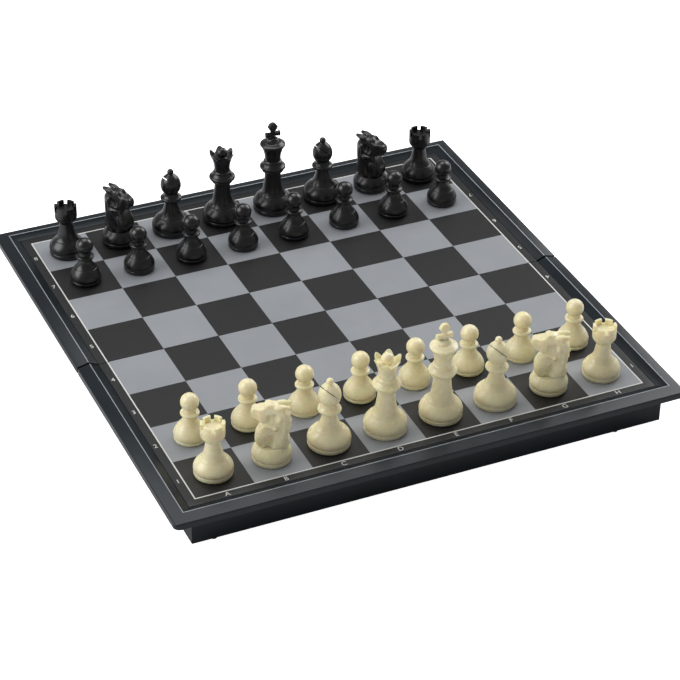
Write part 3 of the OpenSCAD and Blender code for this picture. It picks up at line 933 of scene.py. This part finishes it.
def knightMesh():
    # a blank that has the horse's side, front and plan, each drawn through all of it
    bm = extruded(horseSide(), (0, 2), 24)
    bm = combined(bm, "INTERSECT", extruded(horseFront(), (1, 2), 40))
    bm = combined(bm, "INTERSECT", extruded(horsePlan(), (0, 1), 90))
    bm = remeshed(bm, horse["blankVoxel"])
    smoothed(bm, horse["blankSmoothing"])
    cutter = bmesh.new()
    for side in (-1, 1):
        for (x, y, z), radii, pitch, yaw in horse["forms"]:
            roundForm(bm, (x, side * y, z), radii, pitch, side * yaw)
        for (x, y, z), radii, pitch, yaw in horse["hollows"]:
            roundForm(cutter, (x, side * y, z), radii, pitch, side * yaw)
        addEar(bm, side)
    for x, z in horse["maneLocks"]:
        roundForm(bm, (x, 0, z), horse["lockRadii"], horse["lockPitch"])
    bmesh.ops.recalc_face_normals(bm, faces=bm.faces[:])
    bm = remeshed(bm, horse["voxel"])
    mouth = horse["mouth"]
    slit = bmesh.ops.create_cube(cutter, size=1)["verts"]
    matrix = (
        Matrix.Translation(Vector((mouth["middle"][0], 0, mouth["middle"][1])) * mm)
        @ Matrix.Rotation(math.radians(mouth["tilt"]), 4, "Y")
        @ Matrix.Diagonal((mouth["length"] * mm, 8 * mm, mouth["gap"] * mm, 1)))
    bmesh.ops.transform(cutter, matrix=matrix, verts=slit)
    bm = combined(bm, "DIFFERENCE", remeshed(cutter, horse["voxel"]))
    bm = remeshed(bm, horse["voxel"])
    smoothed(bm, horse["smoothing"])
    r = footRadius["knight"]
    outline = foot(r)
    outline += curvePoints((r - 0.15, 3.9), (r + 0.4, 6.4), (r - 1.4, 8.5), (8.2, 10.4), 12)
    return joined(bm, turned(recessed("knight", outline)))


makers = {"pawn": pawnMesh, "rook": rookMesh, "knight": knightMesh, "bishop": bishopMesh,
          "queen": queenMesh, "king": kingMesh}
patterns = {kind: asMesh(make(), kind) for kind, make in makers.items()}
backRank = ["rook", "knight", "bishop", "queen", "king", "bishop", "knight", "rook"]
manTurn = {"white": {"knight": 152}, "black": {"knight": 298, "queen": 19}}


def addMan(colour, kind, column, rank):
    node = f"{colour}_{kind}_{'abcdefgh'[column]}{rank}"
    turn = math.radians(manTurn[colour].get(kind, 0))
    place = Matrix.Translation((fileMiddle(column), rankMiddle(rank), board["surface"]))
    bm = bmesh.new()
    bm.from_mesh(patterns[kind])
    bm.transform(place @ Matrix.Rotation(turn, 4, "Z"))
    material = ivory if colour == "white" else black
    man = finishPiece(bm, node + "_moulding", [material], node + "_body", [node])
    addBevel(man, manEdgeRound * mm)
    bm = bmesh.new()
    r = magnet["radius"][kind] * mm
    bmesh.ops.create_cone(bm, cap_ends=True, segments=48, radius1=r, radius2=r,
                          depth=magnet["thickness"] * mm)
    lift = magnet["recess"] - magnet["glue"] - magnet["thickness"] / 2
    bmesh.ops.translate(bm, vec=(0, 0, lift * mm), verts=bm.verts[:])
    bm.transform(place)
    disc = finishPiece(bm, node + "_magnet", [magnetFerrite], node + "_body")
    addBevel(disc, magnet["edgeRound"] * mm)


for column, kind in enumerate(backRank):
    addMan("white", kind, column, 1)
    addMan("white", "pawn", column, 2)
    addMan("black", "pawn", column, 7)
    addMan("black", kind, column, 8)
for mesh in patterns.values():
    bpy.data.meshes.remove(mesh)
print("chessmen set up")

# metal parts taken over from the frame
metalNodes = {"steel_sheet": steel, "hinge": zinc}
for node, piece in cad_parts.items():
    for word, material in metalNodes.items():
        if word in node:
            piece.data.materials.clear()
            piece.data.materials.append(material)
print("metal parts finished")

# floor and light
studio = {
    "floor": "#f2f2f2",
    "floorSize": 6,
    "ambient": 0.235,
    "aimHeight": 0.02,       # the lamps point at the middle of the board
    "lamps": [
        # name, place, size, watts
        ("left_softbox", (-1.5, 0.3, 1.0), 1.3, 21),
        ("right_softbox", (1.5, 0.6, 1.0), 1.1, 16),
        ("top_softbox", (0.1, 0.7, 1.7), 1.2, 14),
    ],
}


def addFloor():
    bm = bmesh.new()
    bmesh.ops.create_grid(bm, x_segments=1, y_segments=1, size=studio["floorSize"])
    floor = bpy.data.objects.new("floor", asMesh(bm, "floor"))
    scene.collection.objects.link(floor)
    # white wherever the camera sees it, and plain paper to everything else
    material, tree, shader = newMaterial("paper_floor", {
        "Base Color": linear(studio["floor"]), "Roughness": 0.9, "Specular IOR Level": 0,
        "Emission Color": (1, 1, 1, 1)})
    path = addNode(tree, "ShaderNodeLightPath")
    tree.links.new(path.outputs["Is Camera Ray"], shader.inputs["Emission Strength"])
    floor.data.materials.append(material)


def addWorld():
    world = bpy.data.worlds.new("studio")
    scene.world = world
    world.use_nodes = True
    tree = world.node_tree
    background = tree.nodes["Background"]
    background.inputs["Color"].default_value = (1, 1, 1, 1)
    path = addNode(tree, "ShaderNodeLightPath")
    level = addNode(tree, "ShaderNodeMapRange", inputs={
        "Value": path.outputs["Is Camera Ray"], "To Min": studio["ambient"], "To Max": 1})
    tree.links.new(level.outputs["Result"], background.inputs["Strength"])


def addLamps():
    for name, place, size, watts in studio["lamps"]:
        light = bpy.data.lights.new(name, "AREA")
        light.shape = "SQUARE"
        light.size = size
        light.energy = watts
        lamp = bpy.data.objects.new(name, light)
        aim = Vector((0, 0, studio["aimHeight"])) - Vector(place)
        turn = aim.to_track_quat("-Z", "Y").to_matrix().to_4x4()
        lamp.matrix_world = Matrix.Translation(place) @ turn
        scene.collection.objects.link(lamp)


addFloor()
addWorld()
addLamps()
print("studio lit")
